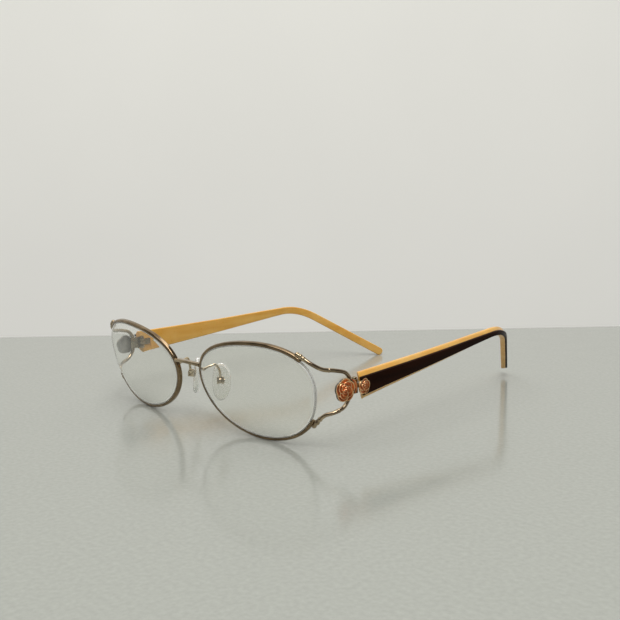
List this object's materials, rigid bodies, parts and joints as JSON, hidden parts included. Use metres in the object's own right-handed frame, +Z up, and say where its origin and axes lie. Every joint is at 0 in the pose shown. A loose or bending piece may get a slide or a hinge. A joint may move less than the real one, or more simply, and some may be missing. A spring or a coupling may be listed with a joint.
{
  "type": "half rim eyeglasses",
  "caption": "Half rim eyeglasses with metal lower and inner rims, bare outer lens edges, folding two-tone temples, rose ornaments at the hinges and rocking nose pads.",
  "frame": {"origin": "middle of the width and of the depth, at the table, with the temples open and the glasses standing on the lower rims and the right temple tip", "axes": "+Z up; -Y is where the wearer looks, so the temples run towards +Y; +X is the wearer's left"},
  "size_m": [0.1334, 0.1516, 0.0351],
  "materials": {
    "rim_metal": "polished, dark bronze plating",
    "pale_metal": "polished, pale gold plating",
    "hinge_steel": "plain satin",
    "rose_enamel": "glossy copper enamel with raised pale edges",
    "ochre_plastic": "polished, slightly translucent",
    "brown_plastic": "polished",
    "lens": "clear, polished",
    "silicone": "clear, smooth",
    "nylon": "translucent"
  },
  "bodies": {
    "front": {"bridge": "pale_metal", "left_rim": "rim_metal", "left_lens": "lens", "left_nylon_cord": "nylon", "left_upper_wire": "pale_metal", "left_lower_wire": "pale_metal", "left_hinge_block": "hinge_steel", "left_hinge_screw": "hinge_steel", "left_rose": "rose_enamel", "left_petal": "rose_enamel", "left_pad_arm": "pale_metal", "right_rim": "rim_metal", "right_lens": "lens", "right_nylon_cord": "nylon", "right_upper_wire": "pale_metal", "right_lower_wire": "pale_metal", "right_hinge_block": "hinge_steel", "right_hinge_screw": "hinge_steel", "right_rose": "rose_enamel", "right_petal": "rose_enamel", "right_pad_arm": "pale_metal"},
    "left_temple": {"left_temple_leaf": "hinge_steel", "left_temple_core": "ochre_plastic", "left_temple_panel": "brown_plastic", "left_temple_rose": "rose_enamel", "left_core_wire": "hinge_steel"},
    "right_temple": {"right_temple_leaf": "hinge_steel", "right_temple_core": "ochre_plastic", "right_temple_panel": "brown_plastic", "right_temple_rose": "rose_enamel", "right_core_wire": "hinge_steel"},
    "left_pad": {"left_nose_pad": "silicone", "left_pad_box": "pale_metal", "left_pad_screw": "pale_metal"},
    "right_pad": {"right_nose_pad": "silicone", "right_pad_box": "pale_metal", "right_pad_screw": "pale_metal"}
  },
  "joints": [
    {"name": "left_temple_fold", "type": "hinge", "parent": "front", "child": "left_temple", "pos_m": [0.0624, -0.05201, 0.02038], "axis": [0, 0, 1], "range_deg": [0, 84]},
    {"name": "right_temple_fold", "type": "hinge", "parent": "front", "child": "right_temple", "pos_m": [-0.0624, -0.05201, 0.02038], "axis": [0, 0, -1], "range_deg": [0, 74]},
    {"name": "left_pad_rock", "type": "hinge", "parent": "front", "child": "left_pad", "pos_m": [0.0095, -0.06527, 0.01658], "axis": [0.7071, 0.7071, 0], "range_deg": [-8, 8]},
    {"name": "right_pad_rock", "type": "hinge", "parent": "front", "child": "right_pad", "pos_m": [-0.0095, -0.06527, 0.01658], "axis": [-0.7071, 0.7071, 0], "range_deg": [-8, 8]}
  ]
}
